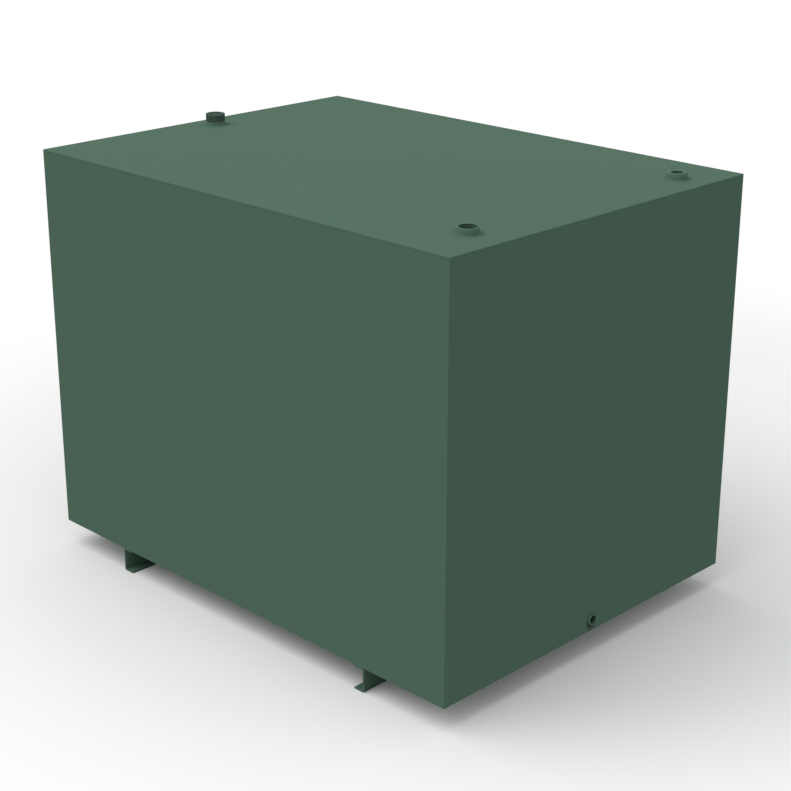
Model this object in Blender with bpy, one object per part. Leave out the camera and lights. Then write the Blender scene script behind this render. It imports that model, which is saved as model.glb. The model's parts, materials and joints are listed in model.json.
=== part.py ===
"""Single skin oil storage tank: a flat-sided welded steel box standing on two channel bearers.

+X runs along the tank to its outlet end, +Y to its back and +Z up. The origin is on the ground under
the middle of the tank body. Lengths are in metres.
"""

import math

import bmesh
import bpy
from mathutils import Vector

# Tank body, measured over its plates
BODY_LENGTH = 2.057
BODY_WIDTH = 1.500
BODY_HEIGHT = 1.500
WALL_THICKNESS = 0.003
FLOOR_THICKNESS = 0.003
TOP_THICKNESS = 0.003

# Clearance between pieces that touch or are welded together
FIT_GAP = 0.0003

# Dressed welds: the rounding of the upright corners and of the rim of the top plate
CORNER_RADIUS = 0.0025
RIM_RADIUS = 0.0012

# Cross-broken top plate: four flat facets rise from its edges to one peak
PEAK_RISE = 0.035
PEAK_TOWARDS_OUTLET = 0.100

# Bearers: press-braked channels, open towards each other
BEARER_HEIGHT = 0.093
BEARER_FLANGE = 0.047
BEARER_METAL = 0.006
BEARER_FOLD_RADIUS = 0.002
BEARER_FROM_END = 0.3675

# Welded sockets of the top plate
SOCKET_OUTER_DIAMETER = 0.072
SOCKET_THREAD_DIAMETER = 0.0596
SOCKET_BELOW_PLATE = 0.010
SOCKET_EDGE_CHAMFER = 0.0008
SOCKET_MOUTH_CHAMFER = 0.0012

VENT_STAND = 0.022
VENT_FROM_END = 0.1365
VENT_FROM_SIDE = 0.226

GAUGE_STAND = 0.022
GAUGE_FROM_END = 0.117
GAUGE_FROM_SIDE = 0.232
GAUGE_THREAD_DIAMETER = 0.0419

FILL_STAND = 0.016
FILL_FROM_END = 0.108
FILL_TOWARDS_FRONT = 0.013

# Nipple that joins the fill socket to its cap
NIPPLE_BORE = 0.0525
NIPPLE_IN_SOCKET = 0.018
NIPPLE_IN_CAP = 0.019

# Screwed cap of the fill point
CAP_DIAMETER = 0.075
CAP_HEIGHT = 0.028
CAP_CROWN = 0.008
CAP_EDGE_CHAMFER = 0.0025
CAP_RIM_WIDTH = 0.010
CAP_RECESS = 0.004
CAP_PIP_DIAMETER = 0.012
CAP_PIP_HEIGHT = 0.0022
CAP_PIP_CHAMFER = 0.0006
CAP_GROOVE_HEIGHT = 0.015
CAP_GROOVE_WIDTH = 0.002
CAP_GROOVE_DEPTH = 0.0006

# One inch outlet socket at the foot of the right end
OUTLET_OUTER_DIAMETER = 0.0395
OUTLET_THREAD_DIAMETER = 0.0332
OUTLET_STAND = 0.007
OUTLET_BEHIND_PLATE = 0.012
OUTLET_ABOVE_FLOOR = 0.044
OUTLET_EDGE_CHAMFER = 0.0006
OUTLET_MOUTH_CHAMFER = 0.0010

# Bracing inside the tank: rolled angles on the walls, joined across by flat ties
ANGLE_LEG = 0.040
ANGLE_METAL = 0.004
ANGLE_ROOT_RADIUS = 0.005
WALL_ANGLE_FROM_MIDDLE = 0.340
ANGLE_BELOW_TOP = 0.030
END_ANGLE_ABOVE_FLOOR = 0.150
TIE_DEPTH = 0.040
TIE_METAL = 0.005
TIE_FROM_WALL = 0.006
LOW_TIE_HEIGHT = 0.480
HIGH_TIE_HEIGHT = 1.020
LONG_TIE_HEIGHT = 0.750

# Fineness of round shapes
RING_STEPS = 48
OUTLET_RING_STEPS = 36
FOLD_STEPS = 5
CORNER_STEPS = 3

# Places that more than one piece uses
INNER_LENGTH = BODY_LENGTH - 2 * WALL_THICKNESS
INNER_WIDTH = BODY_WIDTH - 2 * WALL_THICKNESS
WALL_HEIGHT = BODY_HEIGHT - TOP_THICKNESS - FIT_GAP
VENT_PLACE = (BODY_LENGTH / 2 - VENT_FROM_END, VENT_FROM_SIDE - BODY_WIDTH / 2)
GAUGE_PLACE = (BODY_LENGTH / 2 - GAUGE_FROM_END, BODY_WIDTH / 2 - GAUGE_FROM_SIDE)
FILL_PLACE = (FILL_FROM_END - BODY_LENGTH / 2, -FILL_TOWARDS_FRONT)


def clear_scene():
    for thing in list(bpy.data.objects):
        bpy.data.objects.remove(thing, do_unlink=True)


def paint(name, colour, roughness, metallic=0.0):
    """A Principled material; the colour is linear red, green and blue."""
    material = bpy.data.materials.new(name)
    material.use_nodes = True
    shader = material.node_tree.nodes["Principled BSDF"]
    shader.inputs["Base Color"].default_value = (*colour, 1.0)
    shader.inputs["Roughness"].default_value = roughness
    shader.inputs["Metallic"].default_value = metallic
    return material


def add_piece(name, shape, material, parent, location=(0, 0, 0), rotation=(0, 0, 0)):
    """Turns a bmesh into a named object that stands in its parent's frame."""
    bmesh.ops.recalc_face_normals(shape, faces=shape.faces)
    mesh = bpy.data.meshes.new(name)
    shape.to_mesh(mesh)
    shape.free()
    mesh.materials.append(material)
    piece = bpy.data.objects.new(name, mesh)
    bpy.context.collection.objects.link(piece)
    piece.parent = parent
    piece.location = location
    piece.rotation_euler = rotation
    return piece


def smooth(piece, sharp_angle=30):
    piece.data.shade_smooth()
    piece.data.set_sharp_from_angle(angle=math.radians(sharp_angle))


def block(size):
    """A box of the given size, centred on its own origin."""
    shape = bmesh.new()
    bmesh.ops.create_cube(shape, size=1.0)
    bmesh.ops.scale(shape, vec=Vector(size), verts=shape.verts)
    return shape


def round_edges(shape, chosen, radius):
    """Rounds the edges whose two ends pass the test."""
    edges = [edge for edge in shape.edges if chosen(edge.verts[0].co, edge.verts[1].co)]
    bmesh.ops.bevel(
        shape, geom=edges, offset=radius, segments=CORNER_STEPS, profile=0.5, affect="EDGES"
    )


def is_upright(a, b):
    return abs(a.x - b.x) < 1e-6 and abs(a.y - b.y) < 1e-6


def arc(centre, radius, start, end, steps=FOLD_STEPS):
    """Points of an arc in a flat section, with angles in degrees."""
    angles = (math.radians(start + (end - start) * step / steps) for step in range(steps + 1))
    return [(centre[0] + radius * math.cos(a), centre[1] + radius * math.sin(a)) for a in angles]


def channel_section(height, flange, metal, fold_radius):
    """A C in the XZ plane with its web's outer face on X = 0, open towards +X."""
    outer = fold_radius + metal
    return [
        (flange, 0.0),
        (flange, metal),
        *arc((outer, outer), fold_radius, 270, 180),
        *arc((outer, height - outer), fold_radius, 180, 90),
        (flange, height - metal),
        (flange, height),
        *arc((outer, height - outer), outer, 90, 180),
        *arc((outer, outer), outer, 180, 270),
    ]


def angle_section(leg, metal, root_radius):
    """An L in the XY plane: one leg lies along X on Y = 0, the other stands up on X = 0."""
    root = metal + root_radius
    return [
        (0.0, 0.0),
        (leg, 0.0),
        (leg, metal),
        *arc((root, root), root_radius, 270, 180),
        (metal, leg),
        (0.0, leg),
    ]


def extruded(section, place, along):
    """Draws a flat section with place() and extrudes it by the vector along."""
    shape = bmesh.new()
    face = shape.faces.new([shape.verts.new(place(*point)) for point in section])
    grown = bmesh.ops.extrude_face_region(shape, geom=[face])
    moved = [item for item in grown["geom"] if isinstance(item, bmesh.types.BMVert)]
    bmesh.ops.translate(shape, vec=Vector(along), verts=moved)
    return shape


def turned(profile, steps=RING_STEPS, closed=True):
    """Spins (radius, height) points round Z. A closed profile gives a ring, an open one starts and
    ends on the axis."""
    shape = bmesh.new()
    points = [shape.verts.new((radius, 0.0, height)) for radius, height in profile]
    ends = zip(points, points[1:] + points[:1]) if closed else zip(points, points[1:])
    edges = [shape.edges.new(pair) for pair in ends]
    bmesh.ops.spin(
        shape,
        geom=points + edges,
        axis=(0, 0, 1),
        cent=(0, 0, 0),
        angle=math.tau,
        steps=steps,
        use_merge=True,
    )
    bmesh.ops.remove_doubles(shape, verts=shape.verts, dist=1e-6)
    return shape


def cut(piece, shape, name, location, rotation=(0, 0, 0)):
    """Takes a shape out of a piece with an exact Boolean."""
    cutter = add_piece(name, shape, piece.data.materials[0], piece.parent, location, rotation)
    cutter.hide_render = True
    cutter.display_type = "WIRE"
    hole = piece.modifiers.new(name, "BOOLEAN")
    hole.operation = "DIFFERENCE"
    hole.solver = "EXACT"
    hole.object = cutter


def drill(diameter, depth, steps):
    """A cylinder round Z, with its corners where a turned ring has them."""
    radius = diameter / 2
    return turned([(0, -depth / 2), (radius, -depth / 2), (radius, depth / 2), (0, depth / 2)],
                  steps, closed=False)


def top_rise(x, y):
    """Height of the cross-broken top above its rim: the lowest of the planes of its four facets."""
    return PEAK_RISE * min(
        (BODY_WIDTH / 2 + y) / (BODY_WIDTH / 2),
        (BODY_WIDTH / 2 - y) / (BODY_WIDTH / 2),
        (BODY_LENGTH / 2 + x) / (BODY_LENGTH / 2 + PEAK_TOWARDS_OUTLET),
        (BODY_LENGTH / 2 - x) / (BODY_LENGTH / 2 - PEAK_TOWARDS_OUTLET),
    )


def on_top(place, lift=0.0):
    """The point of the top's upper face at this place, or a point straight above it."""
    return (*place, BODY_HEIGHT + top_rise(*place) + lift)


def floor_plate(green, body):
    """Lies between the walls, flush with their lower edges."""
    size = (INNER_LENGTH - 2 * FIT_GAP, INNER_WIDTH - 2 * FIT_GAP, FLOOR_THICKNESS)
    add_piece("floor_plate", block(size), green, body, (0, 0, FLOOR_THICKNESS / 2))


def long_walls(green, body):
    """The front and back walls run the whole length and carry the rounded upright corners."""
    radius = min(CORNER_RADIUS, WALL_THICKNESS * 0.9)
    for name, side, turn in (("front_wall", -1, 0.0), ("back_wall", 1, math.pi)):
        shape = block((BODY_LENGTH, WALL_THICKNESS, WALL_HEIGHT))
        round_edges(shape, lambda a, b: is_upright(a, b) and a.y < 0, radius)
        place = (0, side * (BODY_WIDTH - WALL_THICKNESS) / 2, WALL_HEIGHT / 2)
        smooth(add_piece(name, shape, green, body, place, (0, 0, turn)))


def end_walls(green, body):
    """The ends fit between the long walls; the right one is drilled for the outlet."""
    size = (WALL_THICKNESS, INNER_WIDTH - 2 * FIT_GAP, WALL_HEIGHT)
    middle = (BODY_LENGTH - WALL_THICKNESS) / 2
    add_piece("left_end", block(size), green, body, (-middle, 0, WALL_HEIGHT / 2))
    right = add_piece("right_end", block(size), green, body, (middle, 0, WALL_HEIGHT / 2))
    bore = drill(OUTLET_OUTER_DIAMETER + 2 * FIT_GAP, 4 * WALL_THICKNESS, OUTLET_RING_STEPS)
    cut(right, bore, "outlet_hole_cutter", (middle, 0, OUTLET_ABOVE_FLOOR), (0, math.pi / 2, 0))


def top_plate(green, body):
    """One sheet, cross-broken into four facets, that sits on the walls with its rim flush."""
    half_length, half_width = BODY_LENGTH / 2, BODY_WIDTH / 2
    shape = bmesh.new()
    corners = [
        shape.verts.new((x, y, 0))
        for x, y in (
            (-half_length, -half_width),
            (half_length, -half_width),
            (half_length, half_width),
            (-half_length, half_width),
        )
    ]
    peak = shape.verts.new((PEAK_TOWARDS_OUTLET, 0, PEAK_RISE))
    facets = [shape.faces.new((a, b, peak)) for a, b in zip(corners, corners[1:] + corners[:1])]
    grown = bmesh.ops.extrude_face_region(shape, geom=facets)
    under = [item for item in grown["geom"] if isinstance(item, bmesh.types.BMVert)]
    bmesh.ops.translate(shape, vec=(0, 0, -TOP_THICKNESS), verts=under)
    round_edges(shape, is_upright_corner, CORNER_RADIUS)
    round_edges(shape, is_upper_rim, min(RIM_RADIUS, TOP_THICKNESS * 0.9))
    plate = add_piece("top_plate", shape, green, body, (0, 0, BODY_HEIGHT))
    smooth(plate, sharp_angle=1)
    for name, place in (
        ("vent_hole_cutter", VENT_PLACE),
        ("gauge_hole_cutter", GAUGE_PLACE),
        ("fill_hole_cutter", FILL_PLACE),
    ):
        hole = drill(SOCKET_OUTER_DIAMETER + 2 * FIT_GAP, 0.1, RING_STEPS)
        cut(plate, hole, name, on_top(place))


def is_upright_corner(a, b):
    return is_upright(a, b) and abs(a.x) > BODY_LENGTH / 2 - 1e-6


def is_upper_rim(a, b):
    return abs(a.z) < 1e-6 and abs(b.z) < 1e-6 and a != b


def threaded_ring(outer, thread, low, high, edge, mouth, steps=RING_STEPS):
    """A half socket: a plain turned ring with chamfered edges and a chamfered mouth at its top."""
    outer_radius, bore = outer / 2, thread / 2
    return turned(
        [
            (bore, low + edge),
            (bore + edge, low),
            (outer_radius - edge, low),
            (outer_radius, low + edge),
            (outer_radius, high - edge),
            (outer_radius - edge, high),
            (bore + mouth, high),
            (bore, high - mouth),
        ],
        steps,
    )


def top_socket(name, place, stand, thread, green, body):
    """Passes through the top plate and stands above it, upright on the sloping facet."""
    shape = threaded_ring(
        SOCKET_OUTER_DIAMETER,
        thread,
        -SOCKET_BELOW_PLATE - TOP_THICKNESS,
        stand,
        SOCKET_EDGE_CHAMFER,
        SOCKET_MOUTH_CHAMFER,
    )
    smooth(add_piece(name, shape, green, body, on_top(place)))


def fill_nipple(steel, body):
    """A short pipe, screwed into the fill socket below and into the cap above."""
    outer = SOCKET_THREAD_DIAMETER - 2 * FIT_GAP
    low = FILL_STAND - NIPPLE_IN_SOCKET
    high = FILL_STAND + NIPPLE_IN_CAP
    edge = SOCKET_EDGE_CHAMFER
    shape = turned(
        [
            (NIPPLE_BORE / 2, low),
            (outer / 2 - edge, low),
            (outer / 2, low + edge),
            (outer / 2, high - edge),
            (outer / 2 - edge, high),
            (NIPPLE_BORE / 2, high),
        ]
    )
    smooth(add_piece("fill_nipple", shape, steel, body, on_top(FILL_PLACE)))


def fill_cap(dark, body):
    """A screwed cap: a skirt with one groove, and a crown with a sunk face, a rim and a centre pip."""
    radius, bore = CAP_DIAMETER / 2, SOCKET_THREAD_DIAMETER / 2
    edge, pip = CAP_EDGE_CHAMFER, CAP_PIP_DIAMETER / 2
    face = CAP_HEIGHT - CAP_RECESS
    pip_top = face + CAP_PIP_HEIGHT
    groove_low = CAP_GROOVE_HEIGHT - CAP_GROOVE_WIDTH / 2
    groove_high = CAP_GROOVE_HEIGHT + CAP_GROOVE_WIDTH / 2
    shape = turned(
        [
            (0, CAP_HEIGHT - CAP_CROWN),
            (bore, CAP_HEIGHT - CAP_CROWN),
            (bore, SOCKET_EDGE_CHAMFER),
            (bore + SOCKET_EDGE_CHAMFER, 0),
            (radius - SOCKET_EDGE_CHAMFER, 0),
            (radius, SOCKET_EDGE_CHAMFER),
            (radius, groove_low),
            (radius - CAP_GROOVE_DEPTH, groove_low + CAP_GROOVE_DEPTH),
            (radius - CAP_GROOVE_DEPTH, groove_high - CAP_GROOVE_DEPTH),
            (radius, groove_high),
            (radius, CAP_HEIGHT - edge),
            (radius - edge, CAP_HEIGHT),
            (radius - CAP_RIM_WIDTH, CAP_HEIGHT),
            (radius - CAP_RIM_WIDTH - CAP_RECESS, face),
            (pip, face),
            (pip, pip_top - CAP_PIP_CHAMFER),
            (pip - CAP_PIP_CHAMFER, pip_top),
            (0, pip_top),
        ],
        closed=False,
    )
    smooth(add_piece("fill_cap", shape, dark, body, on_top(FILL_PLACE, FILL_STAND + FIT_GAP)))


def outlet_socket(green, body):
    """Passes level through the right end, just above the floor plate."""
    shape = threaded_ring(
        OUTLET_OUTER_DIAMETER,
        OUTLET_THREAD_DIAMETER,
        -OUTLET_BEHIND_PLATE - WALL_THICKNESS,
        OUTLET_STAND,
        OUTLET_EDGE_CHAMFER,
        OUTLET_MOUTH_CHAMFER,
        OUTLET_RING_STEPS,
    )
    place = (BODY_LENGTH / 2, 0, OUTLET_ABOVE_FLOOR)
    smooth(add_piece("outlet_socket", shape, green, body, place, (0, math.pi / 2, 0)))


def bearers(green):
    """Both run the whole width under the floor plate, on the ground, with their webs outwards."""
    for name, side in (("left_bearer", -1), ("right_bearer", 1)):
        section = channel_section(BEARER_HEIGHT, BEARER_FLANGE, BEARER_METAL, BEARER_FOLD_RADIUS)
        web = side * (BODY_LENGTH / 2 - BEARER_FROM_END)
        shape = extruded(section, lambda x, z: (-side * x, 0, z), (0, BODY_WIDTH, 0))
        smooth(add_piece(name, shape, green, None, (web, -BODY_WIDTH / 2, 0)))


def wall_angles(steel, body):
    """Upright angles on the long walls, two a side, their standing legs in line across the tank."""
    low = FLOOR_THICKNESS + FIT_GAP
    high = WALL_HEIGHT - ANGLE_BELOW_TOP
    wall = INNER_WIDTH / 2 - FIT_GAP
    for side_name, side in (("front", -1), ("back", 1)):
        for end_name, end in (("left", -1), ("right", 1)):
            section = angle_section(ANGLE_LEG, ANGLE_METAL, ANGLE_ROOT_RADIUS)
            shape = extruded(
                section, lambda x, y: (end * x, -side * y, 0), (0, 0, high - low)
            )
            place = (end * WALL_ANGLE_FROM_MIDDLE, side * wall, low)
            smooth(add_piece(f"{side_name}_{end_name}_angle", shape, steel, body, place))


def end_angles(steel, body):
    """One upright angle on each end, clear of the outlet."""
    high = WALL_HEIGHT - ANGLE_BELOW_TOP
    wall = INNER_LENGTH / 2 - FIT_GAP
    for name, end in (("left_end_angle", -1), ("right_end_angle", 1)):
        section = angle_section(ANGLE_LEG, ANGLE_METAL, ANGLE_ROOT_RADIUS)
        shape = extruded(
            section, lambda x, y: (-end * y, x, 0), (0, 0, high - END_ANGLE_ABOVE_FLOOR)
        )
        smooth(add_piece(name, shape, steel, body, (end * wall, 0, END_ANGLE_ABOVE_FLOOR)))


def ties(steel, body):
    """Flat bars lapped on the standing legs: two levels across the tank, and one along it."""
    lap = FIT_GAP + TIE_METAL / 2
    across = (TIE_METAL, INNER_WIDTH - 2 * TIE_FROM_WALL, TIE_DEPTH)
    for end_name, end in (("left", -1), ("right", 1)):
        x = end * (WALL_ANGLE_FROM_MIDDLE - lap)
        for level_name, height in (("low", LOW_TIE_HEIGHT), ("high", HIGH_TIE_HEIGHT)):
            name = f"{end_name}_{level_name}_tie"
            add_piece(name, block(across), steel, body, (x, 0, height))
    along = (INNER_LENGTH - 2 * TIE_FROM_WALL, TIE_METAL, TIE_DEPTH)
    add_piece("long_tie", block(along), steel, body, (0, -lap, LONG_TIE_HEIGHT))


def main():
    clear_scene()
    green = paint("green_paint", (0.100, 0.178, 0.131), 0.55)
    dark = paint("cap_finish", (0.066, 0.102, 0.083), 0.60)
    steel = paint("mill_steel", (0.090, 0.088, 0.086), 0.50, metallic=0.8)
    body = bpy.data.objects.new("tank_body", None)
    bpy.context.collection.objects.link(body)
    body.location = (0, 0, BEARER_HEIGHT + FIT_GAP)

    floor_plate(green, body)
    long_walls(green, body)
    end_walls(green, body)
    top_plate(green, body)
    top_socket("vent_socket", VENT_PLACE, VENT_STAND, SOCKET_THREAD_DIAMETER, green, body)
    top_socket("gauge_socket", GAUGE_PLACE, GAUGE_STAND, GAUGE_THREAD_DIAMETER, green, body)
    top_socket("fill_socket", FILL_PLACE, FILL_STAND, SOCKET_THREAD_DIAMETER, green, body)
    fill_nipple(steel, body)
    fill_cap(dark, body)
    outlet_socket(green, body)
    bearers(green)
    wall_angles(steel, body)
    end_angles(steel, body)
    ties(steel, body)


main()
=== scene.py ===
import json
import math

import bpy
from mathutils import Matrix, Vector


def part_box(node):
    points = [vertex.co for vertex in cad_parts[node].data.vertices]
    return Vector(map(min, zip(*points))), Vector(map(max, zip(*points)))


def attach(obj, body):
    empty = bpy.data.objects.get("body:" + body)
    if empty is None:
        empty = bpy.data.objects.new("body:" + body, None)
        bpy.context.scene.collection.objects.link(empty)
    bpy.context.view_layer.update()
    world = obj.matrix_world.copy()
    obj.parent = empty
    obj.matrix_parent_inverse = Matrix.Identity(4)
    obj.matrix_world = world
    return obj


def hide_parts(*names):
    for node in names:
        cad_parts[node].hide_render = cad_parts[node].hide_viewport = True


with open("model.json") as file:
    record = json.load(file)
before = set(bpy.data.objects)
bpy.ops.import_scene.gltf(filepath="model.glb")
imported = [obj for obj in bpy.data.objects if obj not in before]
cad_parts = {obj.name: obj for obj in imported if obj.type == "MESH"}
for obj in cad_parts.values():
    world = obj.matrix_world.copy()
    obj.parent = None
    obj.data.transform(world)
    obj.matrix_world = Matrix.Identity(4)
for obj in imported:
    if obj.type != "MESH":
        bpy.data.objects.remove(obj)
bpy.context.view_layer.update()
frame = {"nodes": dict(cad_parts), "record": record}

# Camera, at the photograph's viewing angle: metres, degrees and millimetres
CAMERA_PLACE = (4.3183, -4.3005, 2.9751)
CAMERA_TURN = 45.0
CAMERA_DOWN = 20.0
CAMERA_SHIFT = (0.0115, -0.0191)
LENS = 78.57
SENSOR_WIDTH = 36.0

# Room
FLOOR_SIZE = 60.0
FLOOR_COLOUR = 1.0
# Painted light: the share of white glow in the floor near the tank, which lightens its shadow
FLOOR_PAINTED_GLOW = 0.049
FLOOR_FADE_CENTRE = (-0.23, 1.13, 0.0)
FLOOR_FADE_START = 1.93
FLOOR_FADE_END = 3.33
FLOOR_UNDER_TANK = 0.10
SKY_STRENGTH = 0.50
SUN_DIRECTION = (-0.24, -0.36, 0.88)
SUN_STRENGTH = 1.44
SUN_ANGLE = 65.0

# Colours, linear red, green and blue
GREEN = (0.098, 0.174, 0.128)
# Painted light: the fittings' green is lighter than the plates', standing in for more light on their sides
FITTING_GREEN_PAINTED_LIGHT = (0.130, 0.232, 0.171)
# Painted shade on the socket faces that look up, and painted light on the top plate's
SOCKET_TOP_PAINTED_SHADE = 0.86
TOP_PLATE_PAINTED_LIGHT = 1.05
# Painted light: the fill socket's green is lighter still, against the shade of the cap above it
FILL_SOCKET_GREEN_PAINTED_LIGHT = (0.143, 0.254, 0.187)
# Painted shade in the bores: the inside of each socket and its thread are darker than the paint outside
BORE_PAINTED_SHADE = (0.046, 0.086, 0.062)
TOP_THREAD_PAINTED_SHADE = (0.086, 0.161, 0.116)
OUTLET_THREAD_PAINTED_SHADE = (0.056, 0.104, 0.076)
CAP_GREY_GREEN = (0.078, 0.120, 0.098)
# Painted shade on the cap's sunk face
CAP_SUNK_FACE_PAINTED_SHADE = (0.046, 0.074, 0.060)
PAINT_GLOSS = 0.003
MILL_SCALE = (0.075, 0.074, 0.074)
BARE_STEEL = (0.150, 0.143, 0.135)
RUBBED_CAP_TONE = 1.22

# Finishes: how many marks to the metre, how deep they are in metres, and how rough the surface is
CLOUDS_A_METRE = 2.1
FLECKS_A_METRE = 140.0
FLECK_SHARE = 0.7
SHEEN_A_METRE = 14.0
PAINT_ROUGHNESS = (0.56, 0.72)
PEEL_A_METRE = 420.0
WAVES_A_METRE = 1.9
FLAKES_A_METRE = 26.0
FLAKE_EDGE = (0.56, 0.66)
GRAINS_A_METRE = 380.0
GRAIN_TONE = (0.88, 1.12)
SCALE_THICKNESS = 0.00003
STEEL_ROUGHNESS = (0.62, 0.46)
STEEL_METALLIC = (0.35, 0.85)
SMALL_PIECE_CLOUDING = 0.03
WELD_CLOUDING = 0.05
WELD_PEEL = 0.00005
PITS_A_METRE = 900.0
PIT_DEPTH = 0.00009
CAP_GLOSS = 0.02
SAND_A_METRE = 1100.0
SAND_DEPTH = 0.00012
SAND_TONE = (0.9, 1.1)
CAP_ROUGHNESS = (0.58, 0.78)
RUBS_A_METRE = 70.0
RUB_EDGE = (0.45, 0.75)

# The upward part of a face's normal, from where its painted top tone, lighter on the plate and darker on
# the sockets, begins to where it is whole
LOOKS_UP = (0.60, 0.95)

# Pipe threads: eleven turns to the inch
THREAD_PITCH = 0.0254 / 11
THREAD_DEPTH = 0.00148
THREAD_HEIGHT_SHARE = 1.1
THREAD_WIDTH_SHARE = 0.92
THREAD_CREST_SHARE = 0.16
VENT_THREAD = 0.0596
GAUGE_THREAD = 0.0419
FILL_THREAD = 0.0596
OUTLET_THREAD = 0.0332
THREAD_BELOW_MOUTH = 0.006
OUTLET_THREAD_BEHIND_MOUTH = 0.002
RING_SIDES = 96
THREAD_SIDES = 48

# Welds; the shares are of a weld's leg
SOCKET_WELD_LEG = 0.0024
SOCKET_WELD_RIBS = 144
RIB_SPACING = 3
WELD_TUBE_SIDES = 10
WELD_TUBE_SHARE = 0.62
WELD_RIB_SHARE = 0.07
WELD_UNEVEN_SHARE = 0.03
STITCH_LENGTH = 0.042
STITCH_LEG = 0.0045
STITCH_WIDTH_SHARE = 1.3
STITCH_RIB_SHARE = 0.08
STITCH_SUNK_SHARE = 0.25
STITCHES_A_SIDE = 8
SEAM_PROUD = 0.0005
SEAM_UNEVENNESS = 0.00006
SEAM_CUTS = 60
RIM_BEAD_WIDTH = 0.0024
RIM_BEAD_DEPTH = 0.0062
RIM_BEAD_RISE = 0.0012
BEAD_ROUNDING = 0.0010
STRIP_SIDES = 48

# Sizes that the nodes' boxes don't tell
TOP_THICKNESS = 0.003
CORNER_RADIUS = 0.0025
PEAK_TOWARDS_OUTLET = 0.100
SOCKET_BELOW_PLATE = 0.010
SOCKET_EDGE = 0.0008
VENT_MOUTH = 0.0004
GAUGE_MOUTH = 0.0024
FILL_MOUTH = 0.0004
OUTLET_EDGE = 0.0006
OUTLET_MOUTH = 0.0004

# Painted shadow on the plates at the foot of a fitting, offset the way its shadow falls: its middle beside
# the fitting's axis, the radius that it fades from, how far it reaches and how dark it is
TOP_SHADE_SHIFT = (-0.003, 0.011, 0.0)
TOP_SHADE_RADIUS = 0.033
TOP_SHADE_REACH = 0.026
TOP_SHADE_DEPTH = 0.15
OUTLET_SHADE_SHIFT = (0.0, -0.004, -0.012)
OUTLET_SHADE_RADIUS = 0.0196
OUTLET_SHADE_REACH = 0.014
OUTLET_SHADE_DEPTH = 0.55
SHADE_FALL = 1.6

# Cap
CAP_CROWN = 0.008
CAP_EDGE = 0.0025
CAP_RIM_WIDTH = 0.010
CAP_RECESS = 0.004
CAP_BOSS_RADIUS = 0.006
CAP_BOSS_HEIGHT = 0.0022
CAP_BOSS_EDGE = 0.0008
CAP_GROOVE_HEIGHTS = (0.0175, 0.0095)
CAP_GROOVE_WIDTH = 0.0028
CAP_GROOVE_DEPTH = 0.0009
CAP_GROOVE_CUTS = (-0.5, -0.2, 0.2, 0.5)
CAP_GROOVE_FLOOR = 0.3
CAP_BORE_TAPER = 0.0002
CAP_TONE_EDGE = 0.002

# Shading: an edge that turns by more than this many degrees stays sharp
SMOOTH_SOCKET = 32.0
SMOOTH_THREAD = 60.0
SMOOTH_CAP = 28.0
SMOOTH_WELD = 80.0
SMOOTH_SEAM = 40.0

# Numbers of a box's two corners, and how near to an edge counts as on it
LOW, HIGH = 0, 1
LEVEL_SLACK = 1e-5
ROUND_SLACK = 2e-4
QUARTER_TURN = math.pi / 2


def deselect_all():
    """Leaves edit mode and selects nothing."""
    if bpy.context.object and bpy.context.object.mode != "OBJECT":
        bpy.ops.object.mode_set(mode="OBJECT")
    bpy.ops.object.select_all(action="DESELECT")


def take(piece):
    """Makes one object the only selected one, and active."""
    deselect_all()
    piece.select_set(True)
    bpy.context.view_layer.objects.active = piece


def new_piece(name):
    """Names the primitive that was just added."""
    piece = bpy.context.object
    piece.name = name
    piece.data.name = name
    return piece


def pick(piece, kind, wanted):
    """Opens the piece in edit mode with only the faces, edges or points selected that pass the test."""
    bpy.ops.object.mode_set(mode="EDIT")
    bpy.ops.mesh.select_mode(type=kind)
    bpy.ops.mesh.select_all(action="DESELECT")
    bpy.ops.object.mode_set(mode="OBJECT")
    points = piece.data.vertices
    if kind == "FACE":
        for face in piece.data.polygons:
            face.select = wanted(face.center, face.normal)
    elif kind == "EDGE":
        for edge in piece.data.edges:
            edge.select = wanted(points[edge.vertices[0]].co, points[edge.vertices[1]].co)
    else:
        for point in points:
            point.select = wanted(point.co)
    bpy.ops.object.mode_set(mode="EDIT")


def settle(piece, smooth_angle):
    """Puts a finished piece's place and turn into its mesh, and shades it smooth."""
    take(piece)
    bpy.ops.object.transform_apply(location=True, rotation=True, scale=True)
    bpy.ops.object.shade_smooth_by_angle(angle=math.radians(smooth_angle))


def join(pieces, name):
    """Makes one piece of several."""
    deselect_all()
    for piece in pieces:
        piece.select_set(True)
    bpy.context.view_layer.objects.active = pieces[0]
    bpy.ops.object.join()
    return new_piece(name)


def finish(piece, material, slot, *nodes):
    """Gives a new piece its finish, its body and the nodes that it stands for."""
    piece.data.materials.clear()
    piece.data.materials.append(material)
    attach(piece, "root")
    if nodes:
        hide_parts(*nodes)


# Materials

def new_material(name):
    """A material with its node tree and its main shader."""
    material = bpy.data.materials.new(name)
    material.use_nodes = True
    tree = material.node_tree
    return material, tree, tree.nodes["Principled BSDF"]


def new_group(name, inputs, outputs):
    """A shader node group with named sockets: (name, kind, value) in, (name, kind) out."""
    group = bpy.data.node_groups.new(name, "ShaderNodeTree")
    for label, kind, value in inputs:
        socket = group.interface.new_socket(name=label, in_out="INPUT", socket_type=kind)
        if value is not None:
            socket.default_value = value
    for label, kind in outputs:
        group.interface.new_socket(name=label, in_out="OUTPUT", socket_type=kind)
    enter = group.nodes.new("NodeGroupInput")
    leave = group.nodes.new("NodeGroupOutput")
    return group, enter, leave


def place_group(tree, group, **values):
    """Puts a node group in a tree and sets its inputs; an underscore stands for a space."""
    node = tree.nodes.new("ShaderNodeGroup")
    node.node_tree = group
    for label, value in values.items():
        node.inputs[label.replace("_", " ")].default_value = value
    return node


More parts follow.
